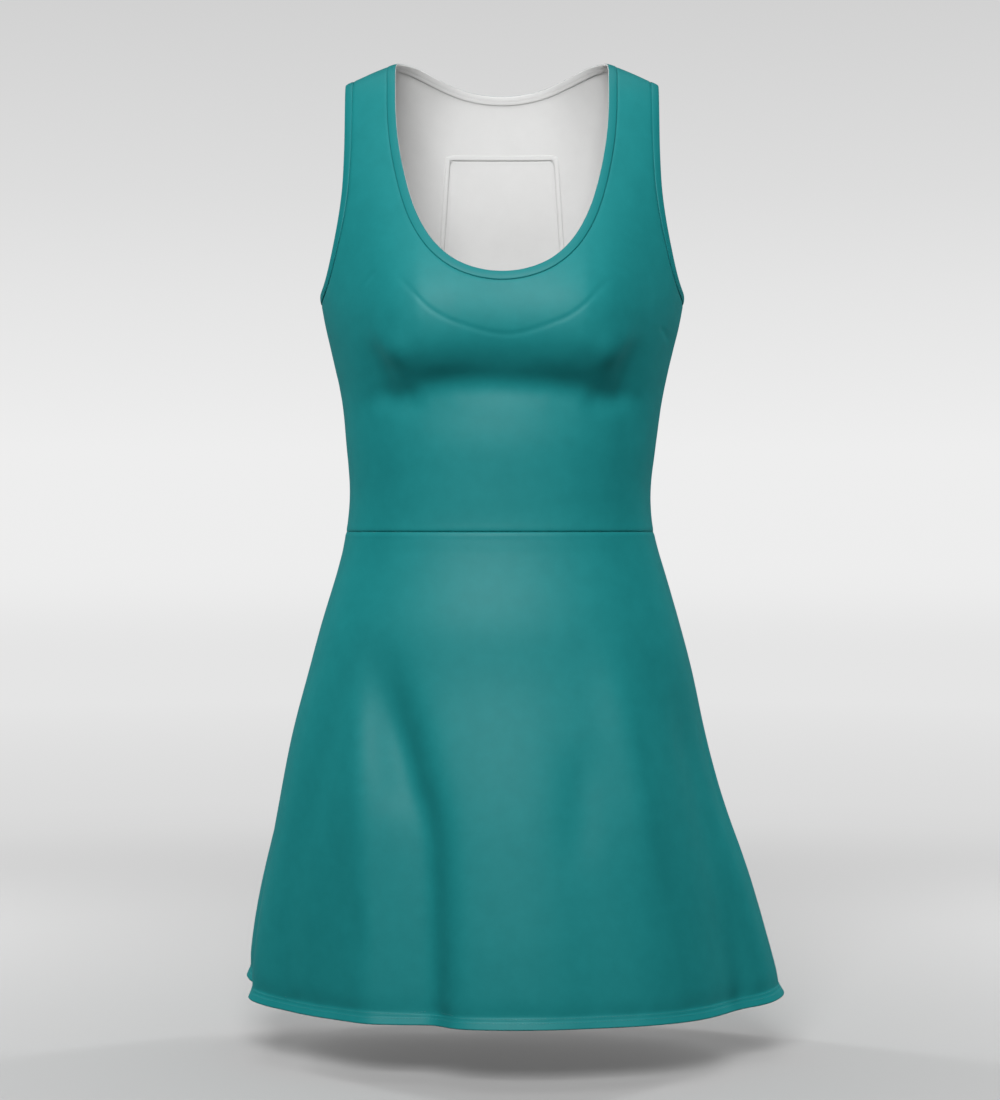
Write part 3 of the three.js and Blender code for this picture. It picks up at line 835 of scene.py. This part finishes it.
def tuckUnderBindings(piece, seams):
    # the cloth goes straight on into the fold of each binding
    if not any("binding" in neighbour for neighbour in seams):
        return
    bound = [edges for neighbour, edges in seams.items() if "binding" in neighbour or neighbour == "open"]
    bound = np.concatenate(bound)
    outwards = outwardsOf(piece, bound)
    activate(piece)
    bpy.context.tool_settings.mesh_select_mode = (False, True, False)
    flags = np.zeros(len(piece.data.edges), bool)
    flags[bound] = True
    piece.data.edges.foreach_set("select", flags)
    oldCount = len(piece.data.vertices)
    bpy.ops.object.mode_set(mode="EDIT")
    bpy.ops.mesh.extrude_edges_move()
    bpy.ops.mesh.select_all(action="DESELECT")
    bpy.ops.mesh.select_mode(type="FACE")
    bpy.ops.object.mode_set(mode="OBJECT")
    points, _ = places(piece)
    _, ends = freeEdges(piece.data)
    for a, b in np.sort(ends, axis=1):
        if a < oldCount <= b:
            points[b] = points[a] + outwards[a] * cloth["underBinding"]
    movePoints(piece, points)


def turnUpHem(piece, outerCount, edgeDistance):
    # the inner face of the wall steps in where the cloth is turned up
    points, normals = places(piece)
    inside = slice(outerCount, 2 * outerCount)
    inHem = np.clip((hem["height"] - edgeDistance) / hem["layerStep"], 0, 1)
    roll = np.sqrt(1 - np.clip(1 - edgeDistance / hem["round"], 0, 1) ** 2)
    points[inside] += normals[inside] * (hem["layer"] * inHem * roll)[:, None]
    movePoints(piece, points)
    isTurned = np.zeros(len(points), bool)
    isTurned[inside] = edgeDistance < hem["height"]
    for face in piece.data.polygons:
        if face.material_index == 1 and all(isTurned[k] for k in face.vertices):
            face.material_index = 0


def sewPanel(panel):
    node = panel["node"]
    piece = copyOfNode(node, node + "_cloth")
    keepOuterFace(piece)
    layFlat(piece)
    isSkirt = node.startswith("skirt")
    if isSkirt:
        cutRows(piece, isWaistRow, 4)
        cutRows(piece, isHemRow, 3)
        cutRows(piece, isSideColumn, 3)
    subdivide(piece, panel["levels"])
    seams = seamsOf(piece, node)
    print(node, {name: len(edges) for name, edges in seams.items()})
    points, normals = places(piece)
    height = np.zeros(len(points))
    crease = creaseHeight(points, panel["creases"])
    moved = points.copy()
    _, ends = freeEdges(piece.data)
    for neighbour, edges in seams.items():
        if neighbour == "open":
            if isSkirt:
                edgeDistance = distanceTo(points, piece, edges, hem["reach"])
                height += hemHeight(points, edgeDistance)
            continue
        distance = distanceTo(points, piece, edges, cloth["reach"])
        crease *= 1 - hump(distance, 0, cloth["calmBesideSeam"])
        if "binding" in neighbour:
            height -= cloth["bindingDip"] * hump(distance, 0, cloth["bindingDipWidth"])
            continue
        pucker = 1 + cloth["pucker"] * uneven(points, cloth["puckerPitch"], 7)
        height -= cloth["seamDip"] * hump(distance, 0, cloth["seamWidth"])
        height += cloth["seamRoll"] * pucker * hump(distance, cloth["rollPlace"], cloth["rollWidth"])
        for corner in np.unique(ends[edges]):
            towards = nodeTrees[neighbour].find_nearest(Vector(points[corner]))[0]
            moved[corner] += cloth["seamClosing"] * (np.array(towards) - points[corner])
    movePoints(piece, moved + normals * (height + crease)[:, None])
    for neighbour, edges in seams.items():
        seamLines[node, neighbour] = linesOf(piece, edges, normals)
    tuckUnderBindings(piece, seams)
    outerCount = len(piece.data.vertices)
    piece.data.materials.append(finish["teal"])
    piece.data.materials.append(finish["white"])
    giveWall(piece, cloth["wall"], 1)
    if isSkirt:
        turnUpHem(piece, outerCount, edgeDistance)
    settle(piece, panel["slot"], node)
    return piece


seamLines = {}
made = {panel["node"]: sewPanel(panel) for panel in panels}
print("panels ready")


# The bindings, each a strip folded over the edge of the cloth

binding = {
    "wall": 0.6 * mm,
    "reach": 9 * mm,
    "edgeDip": 0.28 * mm,
    "edgeDipWidth": 0.7 * mm,
    "crown": 0.14 * mm,
    "crownPlace": 3.4 * mm,  # from the edge of either leg
    "crownWidth": 2 * mm,
    "stitchLine": 3.6 * mm,  # on the inner leg, from its edge
    "groove": 0.22 * mm,
    "grooveWidth": 0.5 * mm,
    "unevenness": 0.25,
    "unevenPitch": 8 * mm,
}


def foldBinding(node):
    piece = copyOfNode(node, node + "_strip")
    # the side against the cloth, found by its lowest face, is open on a folded strip
    facesDown = [face for face in piece.data.polygons if face.normal.z < -0.7]
    min(facesDown, key=lambda face: face.center.z).select = True
    bpy.ops.object.mode_set(mode="EDIT")
    bpy.ops.mesh.faces_select_linked_flat(sharpness=math.radians(40))
    bpy.ops.mesh.delete(type="FACE")
    bpy.ops.object.mode_set(mode="OBJECT")
    makeQuads()
    subdivide(piece, 3)
    free, _ = freeEdges(piece.data)
    points, normals = places(piece)
    distance = distanceTo(points, piece, free, binding["reach"])
    outside = np.array([Vector(n).dot(towardsOutside(Vector(p))) > 0 for p, n in zip(points, normals)])
    height = binding["crown"] * hump(distance, binding["crownPlace"], binding["crownWidth"])
    height -= binding["edgeDip"] * hump(distance, 0, binding["edgeDipWidth"])
    groove = np.where(outside, 0, binding["groove"])
    height -= groove * hump(distance, binding["stitchLine"], binding["grooveWidth"])
    height *= 1 + binding["unevenness"] * uneven(points, binding["unevenPitch"], 5)
    movePoints(piece, points + normals * height[:, None])
    innerEdges = [edge for edge in free if not outside[piece.data.edges[edge].vertices[0]]]
    seamLines[node, "inside"] = linesOf(piece, np.array(innerEdges), normals)
    piece.data.materials.append(finish["binding"])
    piece.data.materials.append(finish["white"])
    for face in piece.data.polygons:
        face.material_index = 0 if face.normal.dot(towardsOutside(face.center)) > 0 else 1
    giveWall(piece, binding["wall"], 0)
    settle(piece, "binding", node)
    return piece


for node in ["neck_binding", "armhole_binding_left", "armhole_binding_right"]:
    made[node] = foldBinding(node)
print("bindings ready")


# Seam allowances on the inside, pressed flat, and the rows of stitches

# millimetres outwards from the seam, and rows of stitches as far from it
allowances = [
    {"of": ("front_bodice", "back_bodice"), "from": -3.4, "to": 3.4, "rows": ()},
    {"of": ("front_bodice", "skirt_front"), "from": -0.5, "to": 6.5, "rows": (5.4,)},
    {"of": ("back_bodice", "skirt_back"), "from": -0.5, "to": 6.5, "rows": (5.4,)},
    {"of": ("skirt_front", "skirt_back"), "from": -3.4, "to": 3.4, "rows": ()},
    {"of": ("back_panel", "back_bodice"), "from": -0.8, "to": 3.8, "rows": (3.0,)},
    {"of": ("back_panel", "skirt_back"), "from": -0.5, "to": 6.5, "rows": (5.4,)},
]

pressed = {
    "step": 3 * mm,  # between its points along the seam
    "rows": 5,
    "thickness": 0.5 * mm,
    "below": 0.35 * mm,  # its middle, from the inside of the cloth
    "bow": 0.18 * mm,
    "wander": 0.35 * mm,  # how far its cut edge strays
    "wanderPitch": 20 * mm,
}

stitch = {
    "pitch": 2.6 * mm,
    "length": 0.74,  # share of the pitch
    "width": 0.2 * mm,
    "height": 0.14 * mm,
    "lift": 0.04 * mm,
    "offCloth": 2.5 * mm,  # each one is set on the cloth from a point this far off its face
}

highestSeam = -60 * mm  # allowances would come out through the cloth on the shoulders, above it


def drawnLine(line, step):
    # the same run of points at an even step, and its ways along, out and across
    points, normals, outwards = line
    reached = np.concatenate([[0], np.cumsum(np.linalg.norm(np.diff(points, axis=0), axis=1))])
    spots = np.linspace(0, reached[-1], max(4, round(reached[-1] / step)))
    even = [np.column_stack([np.interp(spots, reached, way[:, k]) for k in range(3)]) for way in line]
    points, normals, outwards = even
    along = np.gradient(points, axis=0)
    along /= np.linalg.norm(along, axis=1, keepdims=True)
    across = np.cross(along, normals)
    across *= np.sign(np.sum(across * outwards))
    across /= np.linalg.norm(across, axis=1, keepdims=True)
    return points, along, normals, across, reached[-1]


def pressedStrip(name, line, allowance):
    points, _, normals, across, length = drawnLine(line, pressed["step"])
    rows = pressed["rows"]
    start, end = allowance["from"] * mm, allowance["to"] * mm
    bpy.ops.object.select_all(action="DESELECT")
    bpy.ops.mesh.primitive_grid_add(x_subdivisions=len(points) - 1, y_subdivisions=rows - 1, size=1)
    strip = bpy.context.object
    strip.name = name
    wander = pressed["wander"] * uneven(points, pressed["wanderPitch"], 11)
    depth = cloth["wall"] + pressed["below"]
    spots = []
    for share in np.linspace(0, 1, rows):
        reach = start + (end - start) * share + wander * share
        sink = depth + pressed["bow"] * math.sin(math.pi * share)
        spots.append(points + across * reach[:, None] - normals * sink)
    movePoints(strip, np.concatenate(spots))
    layer = strip.data.uv_layers.active.data
    uv = np.empty(len(layer) * 2)
    layer.foreach_get("uv", uv)
    layer.foreach_set("uv", (uv.reshape(-1, 2) * (length, end - start)).ravel())
    modifier = strip.modifiers.new("Wall", "SOLIDIFY")
    modifier.thickness = pressed["thickness"]
    modifier.offset = 0
    bpy.ops.object.modifier_apply(modifier=modifier.name)
    strip.data.materials.append(finish["white"])
    return strip


def stitchRow(name, middles, along, normals, length, thread):
    # one stitch repeated, then each laid in its place on the cloth
    bpy.ops.object.select_all(action="DESELECT")
    bpy.ops.mesh.primitive_uv_sphere_add(segments=6, ring_count=4, radius=1)
    row = bpy.context.object
    row.name = name
    single = len(row.data.vertices)
    modifier = row.modifiers.new("Repeat", "ARRAY")
    modifier.count = len(middles)
    modifier.use_relative_offset = False
    modifier.use_constant_offset = True
    modifier.constant_offset_displace = (4, 0, 0)
    bpy.ops.object.modifier_apply(modifier=modifier.name)
    shape = np.empty(single * len(middles) * 3)
    row.data.vertices.foreach_get("co", shape)
    shape = shape.reshape(-1, 3)[:single]
    across = np.cross(along, normals)
    half = stitch["length"] * length / len(middles) / 2
    spots = middles[:, None] + shape[None, :, 0, None] * half * along[:, None]
    spots = spots + shape[None, :, 1, None] * stitch["width"] * across[:, None]
    spots = spots + shape[None, :, 2, None] * stitch["height"] * normals[:, None]
    movePoints(row, spots.reshape(-1, 3))
    row.data.materials.append(thread)
    activate(row)
    bpy.ops.object.shade_smooth()
    return row


def sewOn(name, line, under, inset, side, thread):
    # a row of stitches on what is under it, inset from a run of its edge, with side 1 for the outer face
    points, along, normals, across, length = drawnLine(line, stitch["pitch"])
    tree = treeOf(under.data)
    starts = points - across * inset + normals * side * stitch["offCloth"]
    spots, faces = np.empty_like(points), np.empty_like(points)
    for i, start in enumerate(starts):
        spots[i], faces[i] = tree.find_nearest(Vector(start))[:2]
    return stitchRow(name, spots + faces * stitch["lift"], along, faces, length, thread)


attached = {node: [] for node in made}
for allowance in allowances:
    node, neighbour = allowance["of"]
    for i, line in enumerate(seamLines[node, neighbour]):
        if line[0][:, 2].mean() > highestSeam:
            continue
        name = f"allowance_{node}_{neighbour}_{i}"
        strip = pressedStrip(name, line, allowance)
        settle(strip, "knit")
        attached[node].append(strip)
        for reach in allowance["rows"]:
            row = sewOn(f"stitches_{name}", line, strip, -reach * mm, -1, finish["whiteThread"])
            settle(row, "knit")
            attached[node].append(row)

for node in ("skirt_front", "skirt_back"):
    for line in seamLines[node, "open"]:
        for reach in hem["rows"]:
            row = sewOn(f"hemStitches_{node}", line, made[node], reach, 1, finish["tealThread"])
            settle(row, "knit")
            attached[node].append(row)

for node in ("neck_binding", "armhole_binding_left", "armhole_binding_right"):
    for line in seamLines[node, "inside"]:
        row = sewOn(f"stitches_{node}", line, made[node], binding["stitchLine"], 1, finish["whiteThread"])
        settle(row, "binding")
        attached[node].append(row)
print("seams ready")
